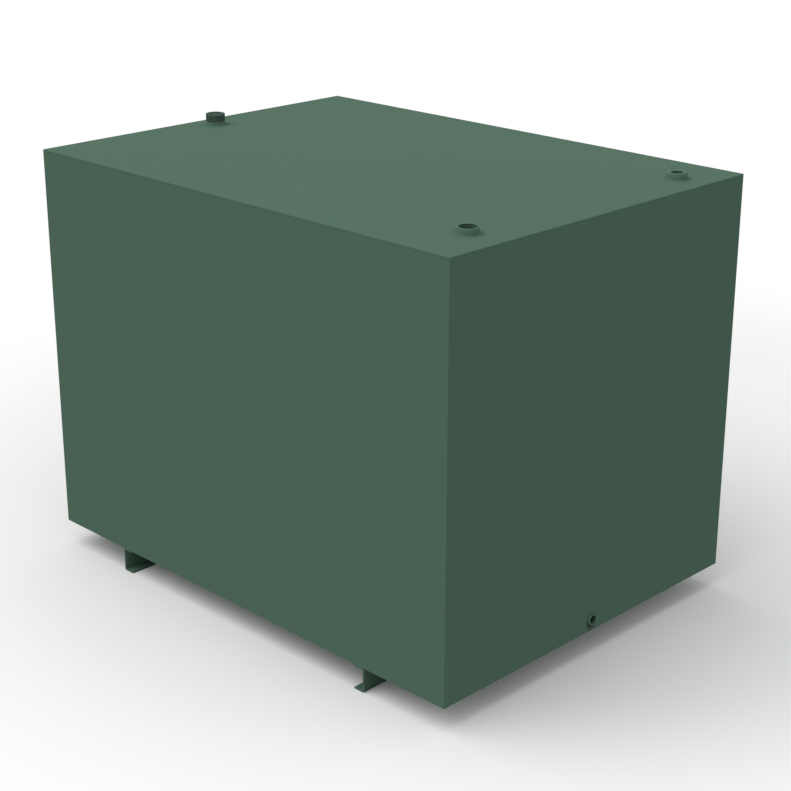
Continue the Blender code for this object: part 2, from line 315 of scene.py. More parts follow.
def noise(tree, vector, scale, detail=2.0, roughness=0.5):
    """A noise from nought to one."""
    node = tree.nodes.new("ShaderNodeTexNoise")
    node.inputs["Scale"].default_value = scale
    node.inputs["Detail"].default_value = detail
    node.inputs["Roughness"].default_value = roughness
    tree.links.new(vector, node.inputs["Vector"])
    return node.outputs["Fac"]


def ranged(tree, value, low, high, from_low=0.0, from_high=1.0):
    """Brings a value from one range to another and stops at its ends."""
    node = tree.nodes.new("ShaderNodeMapRange")
    node.inputs["From Min"].default_value = from_low
    node.inputs["From Max"].default_value = from_high
    node.inputs["To Min"].default_value = low
    node.inputs["To Max"].default_value = high
    tree.links.new(value, node.inputs["Value"])
    return node.outputs["Result"]


def reckon(tree, operation, first, second=None):
    """A Math node; each input is a socket or a number."""
    node = tree.nodes.new("ShaderNodeMath")
    node.operation = operation
    for socket, value in zip(node.inputs, (first, second)):
        if isinstance(value, bpy.types.NodeSocket):
            tree.links.new(value, socket)
        elif value is not None:
            socket.default_value = value
    return node.outputs[0]


def mixed(tree, factor, first, second):
    """A colour Mix node; each input is a socket or a value."""
    node = tree.nodes.new("ShaderNodeMix")
    node.data_type = "RGBA"
    for label, value in (("Factor_Float", factor), ("A_Color", first), ("B_Color", second)):
        socket = next(s for s in node.inputs if s.identifier == label)
        if isinstance(value, bpy.types.NodeSocket):
            tree.links.new(value, socket)
        else:
            socket.default_value = value
    return next(s for s in node.outputs if s.identifier == "Result_Color")


def tinted(tree, colour, factor):
    """A colour made lighter or darker by a factor."""
    node = tree.nodes.new("ShaderNodeVectorMath")
    node.operation = "SCALE"
    tree.links.new(colour, node.inputs[0])
    tree.links.new(factor, node.inputs["Scale"])
    return node.outputs[0]


def inward_mask_group():
    """One where a face looks towards the centre, as the inside of a wall does."""
    group, enter, leave = new_group(
        "inward_mask", (("Centre", "NodeSocketVector", None),), (("Mask", "NodeSocketFloat"),)
    )
    place = group.nodes.new("ShaderNodeTexCoord")
    away = group.nodes.new("ShaderNodeVectorMath")
    away.operation = "SUBTRACT"
    facing = group.nodes.new("ShaderNodeVectorMath")
    facing.operation = "DOT_PRODUCT"
    group.links.new(place.outputs["Object"], away.inputs[0])
    group.links.new(enter.outputs["Centre"], away.inputs[1])
    group.links.new(away.outputs[0], facing.inputs[0])
    group.links.new(place.outputs["Normal"], facing.inputs[1])
    group.links.new(reckon(group, "LESS_THAN", facing.outputs["Value"], 0.0), leave.inputs["Mask"])
    return group


def upward_painted_shading_group():
    """Painted light and shade: one on upright faces, and a tone of its own on the faces that look up."""
    group, enter, leave = new_group(
        "upward_painted_shading", (("Tone", "NodeSocketFloat", 1.0),), (("Factor", "NodeSocketFloat"),)
    )
    facing = group.nodes.new("ShaderNodeSeparateXYZ")
    group.links.new(group.nodes.new("ShaderNodeTexCoord").outputs["Normal"], facing.inputs[0])
    share = ranged(group, facing.outputs["Z"], 0.0, 1.0, *LOOKS_UP)
    change = reckon(group, "SUBTRACT", enter.outputs["Tone"], 1.0)
    factor = reckon(group, "ADD", reckon(group, "MULTIPLY", share, change), 1.0)
    group.links.new(factor, leave.inputs["Factor"])
    return group


def foot_shade_group():
    """A painted shadow: darkens a ring on a plate, from the foot of a fitting outwards, and fades away."""
    group, enter, leave = new_group(
        "foot_shade",
        (
            ("Centre", "NodeSocketVector", None),
            ("Radius", "NodeSocketFloat", 0.036),
            ("Reach", "NodeSocketFloat", 0.02),
            ("Depth", "NodeSocketFloat", 0.2),
        ),
        (("Factor", "NodeSocketFloat"),),
    )
    place = group.nodes.new("ShaderNodeTexCoord").outputs["Object"]
    away = group.nodes.new("ShaderNodeVectorMath")
    away.operation = "DISTANCE"
    group.links.new(place, away.inputs[0])
    group.links.new(enter.outputs["Centre"], away.inputs[1])
    past = reckon(group, "SUBTRACT", away.outputs["Value"], enter.outputs["Radius"])
    share = ranged(group, reckon(group, "DIVIDE", past, enter.outputs["Reach"]), 1.0, 0.0)
    shade = reckon(group, "MULTIPLY", reckon(group, "POWER", share, SHADE_FALL), enter.outputs["Depth"])
    group.links.new(reckon(group, "SUBTRACT", 1.0, shade), leave.inputs["Factor"])
    return group


def paint_coat_group():
    """Sprayed paint: faint clouding, a fine orange peel, and the slow waves of a thin plate."""
    group, enter, leave = new_group(
        "paint_coat",
        (
            ("Colour", "NodeSocketColor", (1, 1, 1, 1)),
            ("Clouding", "NodeSocketFloat", 0.015),
            ("Peel", "NodeSocketFloat", 0.00004),
            ("Plate Waves", "NodeSocketFloat", 0.0008),
        ),
        (("Colour", "NodeSocketColor"), ("Roughness", "NodeSocketFloat"), ("Height", "NodeSocketFloat")),
    )
    place = group.nodes.new("ShaderNodeTexCoord").outputs["Object"]
    clouds = reckon(group, "SUBTRACT", noise(group, place, CLOUDS_A_METRE, 4.0), 0.5)
    flecks = reckon(group, "SUBTRACT", noise(group, place, FLECKS_A_METRE, 2.0), 0.5)
    tone = reckon(group, "ADD", clouds, reckon(group, "MULTIPLY", flecks, FLECK_SHARE))
    factor = reckon(group, "ADD", reckon(group, "MULTIPLY", tone, enter.outputs["Clouding"]), 1.0)
    group.links.new(tinted(group, enter.outputs["Colour"], factor), leave.inputs["Colour"])
    sheen = noise(group, place, SHEEN_A_METRE, 3.0)
    group.links.new(ranged(group, sheen, *PAINT_ROUGHNESS), leave.inputs["Roughness"])
    peel = reckon(group, "MULTIPLY", noise(group, place, PEEL_A_METRE, 1.5), enter.outputs["Peel"])
    waves = reckon(group, "MULTIPLY", noise(group, place, WAVES_A_METRE, 0.0), enter.outputs["Plate Waves"])
    group.links.new(reckon(group, "ADD", peel, waves), leave.inputs["Height"])
    return group


def mill_scale_group():
    """Rolled steel as it comes from the mill: dull grey scale, flaked off here and there to bare metal."""
    group, enter, leave = new_group(
        "mill_scale",
        (("Scale", "NodeSocketFloat", 1.0),),
        (
            ("Colour", "NodeSocketColor"),
            ("Roughness", "NodeSocketFloat"),
            ("Metallic", "NodeSocketFloat"),
            ("Height", "NodeSocketFloat"),
        ),
    )
    place = group.nodes.new("ShaderNodeTexCoord").outputs["Object"]
    sized = group.nodes.new("ShaderNodeVectorMath")
    sized.operation = "SCALE"
    group.links.new(place, sized.inputs[0])
    group.links.new(enter.outputs["Scale"], sized.inputs["Scale"])
    spread = noise(group, sized.outputs[0], FLAKES_A_METRE, 5.0, 0.62)
    bare = ranged(group, spread, 0.0, 1.0, *FLAKE_EDGE)
    grain = noise(group, sized.outputs[0], GRAINS_A_METRE, 2.0)
    tone = ranged(group, grain, *GRAIN_TONE)
    colour = mixed(group, bare, (*MILL_SCALE, 1), (*BARE_STEEL, 1))
    group.links.new(tinted(group, colour, tone), leave.inputs["Colour"])
    group.links.new(ranged(group, bare, *STEEL_ROUGHNESS), leave.inputs["Roughness"])
    group.links.new(ranged(group, bare, *STEEL_METALLIC), leave.inputs["Metallic"])
    step = reckon(group, "MULTIPLY", bare, -SCALE_THICKNESS)
    grit = reckon(group, "MULTIPLY", grain, SCALE_THICKNESS)
    group.links.new(reckon(group, "ADD", step, grit), leave.inputs["Height"])
    return group


def bump(tree, shader, height):
    """Feeds a height in metres to the shader's normal."""
    node = tree.nodes.new("ShaderNodeBump")
    node.inputs["Strength"].default_value = 1.0
    node.inputs["Distance"].default_value = 1.0
    tree.links.new(height, node.inputs["Height"])
    tree.links.new(node.outputs["Normal"], shader.inputs["Normal"])


def foot_shades(tree, groups):
    """The painted shadows of all four fittings on the plates."""
    factor = 1.0
    for node in ("vent_socket", "gauge_socket", "fill_socket", "outlet_socket"):
        low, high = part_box(node)
        middle = (low + high) / 2
        if node == "outlet_socket":
            middle += Vector(OUTLET_SHADE_SHIFT)
            radius, reach, depth = OUTLET_SHADE_RADIUS, OUTLET_SHADE_REACH, OUTLET_SHADE_DEPTH
        else:
            middle += Vector(TOP_SHADE_SHIFT)
            radius, reach, depth = TOP_SHADE_RADIUS, TOP_SHADE_REACH, TOP_SHADE_DEPTH
        shade = place_group(tree, groups["foot"], Centre=middle, Radius=radius, Reach=reach, Depth=depth)
        factor = reckon(tree, "MULTIPLY", shade.outputs["Factor"], factor)
    return factor


def plate_paint(groups, centre):
    """The tank's plates: green paint outside, with painted light on the faces that look up and painted
    shadows at the fittings' feet, and bare steel on the faces that look inwards.
    """
    material, tree, shader = new_material("plate_paint")
    shader.inputs["Specular IOR Level"].default_value = PAINT_GLOSS
    coat = place_group(tree, groups["coat"], Colour=(*GREEN, 1))
    steel = place_group(tree, groups["steel"], Scale=1.0)
    inside = place_group(tree, groups["inward"], Centre=centre)
    mask = inside.outputs["Mask"]
    # Painted light on the faces that look up, and painted shadows round the fittings' feet
    painted_top_light = place_group(tree, groups["upward"], Tone=TOP_PLATE_PAINTED_LIGHT).outputs["Factor"]
    tone = reckon(tree, "MULTIPLY", foot_shades(tree, groups), painted_top_light)
    shaded = tinted(tree, coat.outputs["Colour"], tone)
    colour = mixed(tree, mask, shaded, steel.outputs["Colour"])
    tree.links.new(colour, shader.inputs["Base Color"])
    for label in ("Roughness", "Height"):
        gap = reckon(tree, "SUBTRACT", steel.outputs[label], coat.outputs[label])
        value = reckon(tree, "ADD", coat.outputs[label], reckon(tree, "MULTIPLY", gap, mask))
        if label == "Height":
            bump(tree, shader, value)
        else:
            tree.links.new(value, shader.inputs[label])
    metal = reckon(tree, "MULTIPLY", steel.outputs["Metallic"], mask)
    tree.links.new(metal, shader.inputs["Metallic"])
    return material


def plain_paint(name, groups, colour):
    """Green paint on every face of a small or rolled piece, which has no plate waves."""
    material, tree, shader = new_material(name)
    shader.inputs["Specular IOR Level"].default_value = PAINT_GLOSS
    coat = place_group(
        tree, groups["coat"], Colour=(*colour, 1), Clouding=SMALL_PIECE_CLOUDING, Plate_Waves=0.0
    )
    tree.links.new(coat.outputs["Colour"], shader.inputs["Base Color"])
    tree.links.new(coat.outputs["Roughness"], shader.inputs["Roughness"])
    bump(tree, shader, coat.outputs["Height"])
    return material


def socket_paint(node, groups, outside, inside):
    """A socket's paint, with painted shade as a darker colour on the faces that look towards the bore,
    and painted shade as a darker tone on those that look up."""
    low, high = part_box(node)
    material, tree, shader = new_material(node + "_paint")
    shader.inputs["Specular IOR Level"].default_value = PAINT_GLOSS
    inward = place_group(tree, groups["inward"], Centre=(low + high) / 2)
    # Painted shade: a darker colour on the faces that look towards the bore, and a darker tone on those
    # that look up
    colour = mixed(tree, inward.outputs["Mask"], (*outside, 1), (*inside, 1))
    painted_top_shade = place_group(tree, groups["upward"], Tone=SOCKET_TOP_PAINTED_SHADE).outputs["Factor"]
    coat = place_group(tree, groups["coat"], Clouding=SMALL_PIECE_CLOUDING, Plate_Waves=0.0)
    tree.links.new(tinted(tree, colour, painted_top_shade), coat.inputs["Colour"])
    tree.links.new(coat.outputs["Colour"], shader.inputs["Base Color"])
    tree.links.new(coat.outputs["Roughness"], shader.inputs["Roughness"])
    bump(tree, shader, coat.outputs["Height"])
    return material


def bare_steel(groups):
    """The bracing and the nipple inside: rolled steel with its mill scale."""
    material, tree, shader = new_material("mill_steel")
    steel = place_group(tree, groups["steel"], Scale=1.0)
    tree.links.new(steel.outputs["Colour"], shader.inputs["Base Color"])
    tree.links.new(steel.outputs["Roughness"], shader.inputs["Roughness"])
    tree.links.new(steel.outputs["Metallic"], shader.inputs["Metallic"])
    bump(tree, shader, steel.outputs["Height"])
    return material


def weld_paint(name, groups, colour):
    """Green paint over a weld, with the spatter and pits that show through it."""
    material, tree, shader = new_material(name)
    shader.inputs["Specular IOR Level"].default_value = PAINT_GLOSS
    coat = place_group(
        tree, groups["coat"], Colour=(*colour, 1), Clouding=WELD_CLOUDING, Peel=WELD_PEEL
    )
    place = tree.nodes.new("ShaderNodeTexCoord").outputs["Object"]
    pits = reckon(tree, "MULTIPLY", noise(tree, place, PITS_A_METRE, 3.0), PIT_DEPTH)
    tree.links.new(coat.outputs["Colour"], shader.inputs["Base Color"])
    tree.links.new(coat.outputs["Roughness"], shader.inputs["Roughness"])
    bump(tree, shader, reckon(tree, "ADD", coat.outputs["Height"], pits))
    return material


def cap_coating():
    """A malleable iron cap: sandy casting grain under a thin dull coating, rubbed lighter in places, with
    painted shade on its sunk face.
    """
    material, tree, shader = new_material("cap_coating")
    shader.inputs["Specular IOR Level"].default_value = CAP_GLOSS
    place = tree.nodes.new("ShaderNodeTexCoord").outputs["Object"]
    sand = noise(tree, place, SAND_A_METRE, 3.0, 0.6)
    rubs = ranged(tree, noise(tree, place, RUBS_A_METRE, 4.0, 0.6), 0.0, 1.0, *RUB_EDGE)
    lighter = tuple(RUBBED_CAP_TONE * value for value in CAP_GREY_GREEN)
    low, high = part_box("fill_cap")
    middle = (low + high) / 2
    from_axis = tree.nodes.new("ShaderNodeVectorMath")
    from_axis.operation = "DISTANCE"
    from_axis.inputs[1].default_value = (middle.x, middle.y, high.z - CAP_RECESS)
    tree.links.new(place, from_axis.inputs[0])
    edge, boss = (high.x - low.x) / 2 - CAP_RIM_WIDTH, CAP_BOSS_RADIUS
    away = from_axis.outputs["Value"]
    inside_rim = ranged(tree, away, 1.0, 0.0, edge - CAP_TONE_EDGE, edge + CAP_TONE_EDGE / 2)
    round_boss = ranged(tree, away, 0.0, 1.0, boss, boss + CAP_TONE_EDGE)
    # Painted shade on the sunk face between the rim and the boss
    sunk = reckon(tree, "MULTIPLY", inside_rim, round_boss)
    colour = mixed(tree, rubs, (*CAP_GREY_GREEN, 1), (*lighter, 1))
    colour = mixed(tree, sunk, colour, (*CAP_SUNK_FACE_PAINTED_SHADE, 1))
    tree.links.new(tinted(tree, colour, ranged(tree, sand, *SAND_TONE)), shader.inputs["Base Color"])
    tree.links.new(ranged(tree, sand, *CAP_ROUGHNESS), shader.inputs["Roughness"])
    bump(tree, shader, reckon(tree, "MULTIPLY", sand, SAND_DEPTH))
    return material


# Sockets, threads and the cap

def on_circle(a, b, radius, height, slack):
    """Whether an edge lies on a circle round the upright axis, at a height."""
    return all(
        abs(point.xy.length - radius) < ROUND_SLACK and abs(point.z - height) < slack for point in (a, b)
    )


def turned_socket(name, outer, bore, low, high, edge, mouth, sides=RING_SIDES):
    """A plain ring with softened edges, upright on the origin: a cylinder, inset, bored and bevelled."""
    deselect_all()
    bpy.ops.mesh.primitive_cylinder_add(
        vertices=sides, radius=outer / 2, depth=high - low, location=(0, 0, (low + high) / 2)
    )
    ring = new_piece(name)
    bpy.ops.object.transform_apply(location=True, rotation=False, scale=False)
    pick(ring, "FACE", lambda centre, normal: abs(normal.z) > 0.9)
    bpy.ops.mesh.inset(thickness=(outer - bore) / 2, depth=0)
    bpy.ops.mesh.bridge_edge_loops()
    bpy.ops.object.mode_set(mode="OBJECT")

    for radius, height, size in ((outer / 2, high, edge), (outer / 2, low, edge), (bore / 2, high, mouth)):
        pick(ring, "EDGE", lambda a, b: on_circle(a, b, radius, height, LEVEL_SLACK))
        bpy.ops.mesh.bevel(offset=size, segments=3, profile=0.5, affect="EDGES")
        bpy.ops.object.mode_set(mode="OBJECT")
    return ring


def thread_ridge(name, bore, low, high):
    """The inside thread of a socket: one V-shaped ridge wound up the bore."""
    turns = int((high - low) / THREAD_PITCH)
    deselect_all()
    crest = bore / 2 - THREAD_DEPTH / 2
    bpy.ops.mesh.primitive_plane_add(
        size=1, location=(crest, 0, low + THREAD_PITCH / 2), rotation=(QUARTER_TURN, 0, 0)
    )
    ridge = new_piece(name)
    ridge.scale = (THREAD_DEPTH * THREAD_HEIGHT_SHARE, THREAD_PITCH * THREAD_WIDTH_SHARE, 1)
    bpy.ops.object.transform_apply(location=True, rotation=True, scale=True)
    pick(ridge, "VERT", lambda point: point.x < crest)
    bpy.ops.transform.resize(value=(1, 1, THREAD_CREST_SHARE))
    bpy.ops.mesh.select_all(action="SELECT")
    bpy.ops.mesh.delete(type="ONLY_FACE")
    bpy.ops.object.mode_set(mode="OBJECT")
    bpy.ops.object.modifier_add(type="SCREW")
    screw = ridge.modifiers["Screw"]
    screw.axis = "Z"
    screw.angle = math.tau
    screw.screw_offset = THREAD_PITCH
    screw.iterations = turns
    screw.steps = THREAD_SIDES
    screw.render_steps = THREAD_SIDES
    screw.use_merge_vertices = False
    bpy.ops.object.modifier_apply(modifier="Screw")
    last = len(ridge.data.vertices)
    for corners in (range(4), range(last - 4, last)):
        ends = {tuple(ridge.data.vertices[index].co) for index in corners}
        pick(ridge, "VERT", lambda point: tuple(point) in ends)
        bpy.ops.mesh.edge_face_add()
        bpy.ops.object.mode_set(mode="OBJECT")
    pick(ridge, "FACE", lambda centre, normal: True)
    bpy.ops.mesh.normals_make_consistent(inside=False)
    bpy.ops.object.mode_set(mode="OBJECT")
    return ridge


def weld_ring(name, radius, leg, sides):
    """A fillet weld round a socket's foot: a ring whose every third rib is drawn in, as a stepped bead."""
    deselect_all()
    bpy.ops.mesh.primitive_torus_add(
        major_segments=sides, minor_segments=WELD_TUBE_SIDES,
        major_radius=radius, minor_radius=leg * WELD_TUBE_SHARE,
    )
    bead = new_piece(name)

    def rib(point):
        return round(math.atan2(point.y, point.x) / math.tau * sides) % RIB_SPACING == 0

    pick(bead, "VERT", rib)
    bpy.ops.transform.shrink_fatten(value=-leg * WELD_RIB_SHARE)
    bpy.ops.mesh.select_all(action="SELECT")
    bpy.ops.transform.vertex_random(offset=leg * WELD_UNEVEN_SHARE, seed=5)
    bpy.ops.object.mode_set(mode="OBJECT")
    return bead


def top_fitting(node, bore, mouth, colour, groups, thread_paint):
    """A finer socket on the top plate, in the place of the node, with its inside thread except on the fill
    socket.
    """
    low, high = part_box(node)
    middle = (low + high) / 2
    ring = turned_socket(node + "_turned", high.x - low.x, bore, low.z, high.z, SOCKET_EDGE, mouth)
    ring.location = (middle.x, middle.y, 0)
    settle(ring, SMOOTH_SOCKET)
    finish(ring, socket_paint(node, groups, colour, BORE_PAINTED_SHADE), "green_paint", node)
    if node != "fill_socket":
        ridge = thread_ridge(node + "_thread", bore, low.z + SOCKET_EDGE, high.z - THREAD_BELOW_MOUTH)
        ridge.location = (middle.x, middle.y, 0)
        settle(ridge, SMOOTH_THREAD)
        finish(ridge, thread_paint, "green_paint")


def top_weld(node, material):
    """The fillet weld between a socket and the sloping facet that it passes through."""
    low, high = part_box(node)
    middle = (low + high) / 2
    bead = weld_ring(node + "_weld", (high.x - low.x) / 2, SOCKET_WELD_LEG, SOCKET_WELD_RIBS)
    plate_low, plate_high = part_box("top_plate")
    peak_rise = plate_high.z - plate_low.z - TOP_THICKNESS
    to_end = plate_high.x - math.copysign(PEAK_TOWARDS_OUTLET, middle.x)
    bead.rotation_euler = (0, math.copysign(math.atan(peak_rise / to_end), middle.x), 0)
    bead.location = (middle.x, middle.y, low.z + SOCKET_BELOW_PLATE + TOP_THICKNESS)
    settle(bead, SMOOTH_WELD)
    finish(bead, material, "green_paint")


def outlet_fitting(groups, thread_paint):
    """The outlet socket and its thread, modelled upright and then laid level."""
    low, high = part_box("outlet_socket")
    middle = (low + high) / 2
    ring = turned_socket(
        "outlet_socket_turned", high.z - low.z, OUTLET_THREAD, low.x, high.x, OUTLET_EDGE, OUTLET_MOUTH
    )
    ridge = thread_ridge(
        "outlet_thread", OUTLET_THREAD, low.x + OUTLET_EDGE, high.x - OUTLET_THREAD_BEHIND_MOUTH
    )
    for piece, smooth_angle in ((ring, SMOOTH_SOCKET), (ridge, SMOOTH_THREAD)):
        piece.rotation_euler = (0, QUARTER_TURN, 0)
        piece.location = (0, middle.y, middle.z)
        settle(piece, smooth_angle)
    paint = socket_paint("outlet_socket", groups, FITTING_GREEN_PAINTED_LIGHT, OUTLET_THREAD_PAINTED_SHADE)
    finish(ring, paint, "green_paint", "outlet_socket")
    finish(ridge, thread_paint, "green_paint")


def screwed_cap(material):
    """The fill cap: a cylinder whose top is sunk inside a rim round a centre boss, hollow below,
    with two grip grooves round its skirt and softened edges."""
    low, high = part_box("fill_cap")
    middle = (low + high) / 2
    radius, height = (high.x - low.x) / 2, high.z - low.z
    deselect_all()
    bpy.ops.mesh.primitive_cylinder_add(vertices=RING_SIDES, radius=radius, depth=height)
    cap = new_piece("fill_cap_cast")
    pick(cap, "FACE", lambda centre, normal: normal.z > 0.9)
    bpy.ops.mesh.inset(thickness=CAP_RIM_WIDTH, depth=0)
    bpy.ops.mesh.inset(thickness=CAP_RECESS, depth=-CAP_RECESS)
    bpy.ops.mesh.inset(thickness=radius - CAP_RIM_WIDTH - CAP_RECESS - CAP_BOSS_RADIUS, depth=0)
    bpy.ops.mesh.inset(thickness=CAP_BOSS_EDGE, depth=CAP_BOSS_HEIGHT)
    bpy.ops.object.mode_set(mode="OBJECT")
    pick(cap, "FACE", lambda centre, normal: normal.z < -0.9)
    bpy.ops.mesh.inset(thickness=radius - FILL_THREAD / 2, depth=0)
    bpy.ops.mesh.inset(thickness=CAP_BORE_TAPER, depth=-(height - CAP_CROWN))
    bpy.ops.object.mode_set(mode="OBJECT")

    skirt = (radius + FILL_THREAD / 2) / 2
    depth_share = 1 - CAP_GROOVE_DEPTH / radius
    for groove in (level - height / 2 for level in CAP_GROOVE_HEIGHTS):
        for share in CAP_GROOVE_CUTS:
            pick(cap, "FACE", lambda centre, normal: abs(normal.z) < 0.1 and centre.xy.length > skirt)
            bpy.ops.mesh.bisect(plane_co=(0, 0, groove + share * CAP_GROOVE_WIDTH), plane_no=(0, 0, 1))
            bpy.ops.object.mode_set(mode="OBJECT")
        floor = CAP_GROOVE_FLOOR * CAP_GROOVE_WIDTH
        pick(cap, "VERT", lambda point: abs(point.z - groove) < floor and point.xy.length > skirt)
        bpy.ops.transform.resize(value=(depth_share, depth_share, 1), center_override=(0, 0, groove))
        bpy.ops.object.mode_set(mode="OBJECT")

    top, bottom = height / 2, -height / 2
    boss, boss_top = CAP_BOSS_RADIUS - CAP_BOSS_EDGE, top - CAP_RECESS + CAP_BOSS_HEIGHT
    for ring, level, size in (
        (radius, top, CAP_EDGE), (radius - CAP_RIM_WIDTH, top, CAP_EDGE / 2), (radius, bottom, SOCKET_EDGE),
        (boss, boss_top, CAP_BOSS_EDGE / 2),
    ):
        pick(cap, "EDGE", lambda a, b: on_circle(a, b, ring, level, ROUND_SLACK))
        bpy.ops.mesh.bevel(offset=size, segments=4, profile=0.5, affect="EDGES")
        bpy.ops.object.mode_set(mode="OBJECT")
    cap.location = middle
    settle(cap, SMOOTH_CAP)
    finish(cap, material, "cap_finish", "fill_cap")


def stitch_weld(name):
    """One short fillet weld along Y: a long ball whose every second rib is drawn in."""
    deselect_all()
    bpy.ops.mesh.primitive_uv_sphere_add(
        segments=12, ring_count=26, radius=0.5, rotation=(QUARTER_TURN, 0, 0)
    )
    bead = new_piece(name)
    bead.scale = (STITCH_LEG * STITCH_WIDTH_SHARE, STITCH_LEG * STITCH_WIDTH_SHARE, STITCH_LENGTH)
    bpy.ops.object.transform_apply(location=True, rotation=True, scale=True)
    levels = sorted({round(point.co.y, 5) for point in bead.data.vertices})
    drawn = set(levels[2:-2:2])
    pick(bead, "VERT", lambda point: round(point.y, 5) in drawn)
    bpy.ops.transform.shrink_fatten(value=-STITCH_LEG * STITCH_RIB_SHARE)
    bpy.ops.object.mode_set(mode="OBJECT")
    return bead


def bearer_stitches(node, material):
    """Stitch welds along both upper edges of a bearer, under the floor plate."""
    low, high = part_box(node)
    width = high.y - low.y
    pattern = stitch_weld("stitch_pattern")
    copies = []
    for x in (low.x, high.x):
        for step in range(STITCHES_A_SIDE):
            copy = pattern.copy()
            copy.data = pattern.data.copy()
            bpy.context.scene.collection.objects.link(copy)
            y = low.y + width * (step + 0.5) / STITCHES_A_SIDE
            copy.location = (x, y, high.z - STITCH_LEG * STITCH_SUNK_SHARE)
            copies.append(copy)
    bpy.data.objects.remove(pattern)
    beads = join(copies, node + "_stitch_welds")
    settle(beads, SMOOTH_WELD)
    finish(beads, material, "green_paint")


def unevenly(piece, length_axis, length, seed):
    """Cuts the long edges of a dressed weld many times and moves the points a little."""
    pick(piece, "EDGE", lambda a, b: abs(a[length_axis] - b[length_axis]) > length / 2)
    bpy.ops.mesh.subdivide(number_cuts=SEAM_CUTS)
    bpy.ops.mesh.select_all(action="SELECT")
    bpy.ops.transform.vertex_random(offset=SEAM_UNEVENNESS, seed=seed)
    bpy.ops.object.mode_set(mode="OBJECT")


def rim_bead(name, length, material, place, turn):
    """A weld along the edge of the top plate: a bar along X with its outer side towards -Y, whose
    upper edges are rounded off into a low bead."""
    deselect_all()
    bpy.ops.mesh.primitive_cube_add(size=1)
    bead = new_piece(name)
    bead.scale = (length, RIM_BEAD_WIDTH, RIM_BEAD_DEPTH)
    bead.location = (0, RIM_BEAD_WIDTH / 2 - SEAM_PROUD, RIM_BEAD_RISE - RIM_BEAD_DEPTH / 2)
    bpy.ops.object.transform_apply(location=True, rotation=False, scale=True)
    pick(bead, "EDGE", lambda a, b: abs(a.x - b.x) > length / 2 and a.z > 0)
    bpy.ops.mesh.bevel(offset=BEAD_ROUNDING, segments=5, profile=0.5, affect="EDGES")
    bpy.ops.object.mode_set(mode="OBJECT")
    foot = RIM_BEAD_RISE - RIM_BEAD_DEPTH + LEVEL_SLACK
    pick(bead, "EDGE", lambda a, b: abs(a.x - b.x) > length / 2 and a.z < foot and a.y < 0)
    bpy.ops.mesh.bevel(offset=SEAM_PROUD * 0.8, segments=3, affect="EDGES")
    bpy.ops.object.mode_set(mode="OBJECT")
    unevenly(bead, 0, length, 11)
    bead.rotation_euler = (0, 0, turn)
    bead.location = place
    settle(bead, SMOOTH_SEAM)
    finish(bead, material, "green_paint")


def corner_strip(name, corner, low, high, material):
    """A dressed weld down an upright corner: a cylinder whose inner half is cut away, with
    softened ends and a slightly uneven face."""
    length = high - low
    deselect_all()
    bpy.ops.mesh.primitive_cylinder_add(
        vertices=STRIP_SIDES, radius=CORNER_RADIUS + SEAM_PROUD, depth=length
    )
    strip = new_piece(name)
    outward = Vector((math.copysign(1, corner[0]), math.copysign(1, corner[1]), 0))
    for side, rounding in ((1, BEAD_ROUNDING), (-1, SEAM_PROUD)):
        pick(strip, "EDGE", lambda a, b: min(side * a.z, side * b.z) > length / 2 - LEVEL_SLACK)
        bpy.ops.mesh.bevel(offset=rounding, segments=4, profile=0.5, affect="EDGES")
        bpy.ops.object.mode_set(mode="OBJECT")
    pick(strip, "FACE", lambda centre, normal: True)
    bpy.ops.mesh.bisect(plane_co=(0, 0, 0), plane_no=outward, use_fill=True, clear_inner=True)
    bpy.ops.object.mode_set(mode="OBJECT")
    unevenly(strip, 2, length, 7)
    strip.location = (
        corner[0] - CORNER_RADIUS * outward.x, corner[1] - CORNER_RADIUS * outward.y, (low + high) / 2
    )
    settle(strip, SMOOTH_SEAM)
    finish(strip, material, "green_paint")


def body_seams(material):
    """Dressed welds along the four edges of the top and down the four upright corners."""
    low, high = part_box("front_wall")
    front, back = low.y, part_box("back_wall")[HIGH].y
    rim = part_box("top_plate")[LOW].z + TOP_THICKNESS
    long, wide = high.x - low.x - 2 * CORNER_RADIUS, back - front - 2 * CORNER_RADIUS
    for name, length, place, turn in (
        ("front_rim_bead", long, (0, front, rim), 0),
        ("back_rim_bead", long, (0, back, rim), 2 * QUARTER_TURN),
        ("left_rim_bead", wide, (low.x, 0, rim), -QUARTER_TURN),
        ("right_rim_bead", wide, (high.x, 0, rim), QUARTER_TURN),
    ):
        rim_bead(name, length, material, place, turn)
    for x, end in ((low.x, "left"), (high.x, "right")):
        for y, side in ((front, "front"), (back, "back")):
            corner_strip(f"{side}_{end}_corner_weld", (x, y), low.z, rim + RIM_BEAD_RISE, material)


def plain_shader(tree, kind, grey):
    """A shader of one even grey."""
    node = tree.nodes.new(kind)
    node.inputs["Color"].default_value = (grey, grey, grey, 1)
    return node.outputs[0]


def blend(tree, factor, first, second):
    """Mixes two shaders by a factor."""
    node = tree.nodes.new("ShaderNodeMixShader")
    for socket, value in zip(node.inputs, (factor, first, second)):
        tree.links.new(value, socket)
    return node.outputs[0]


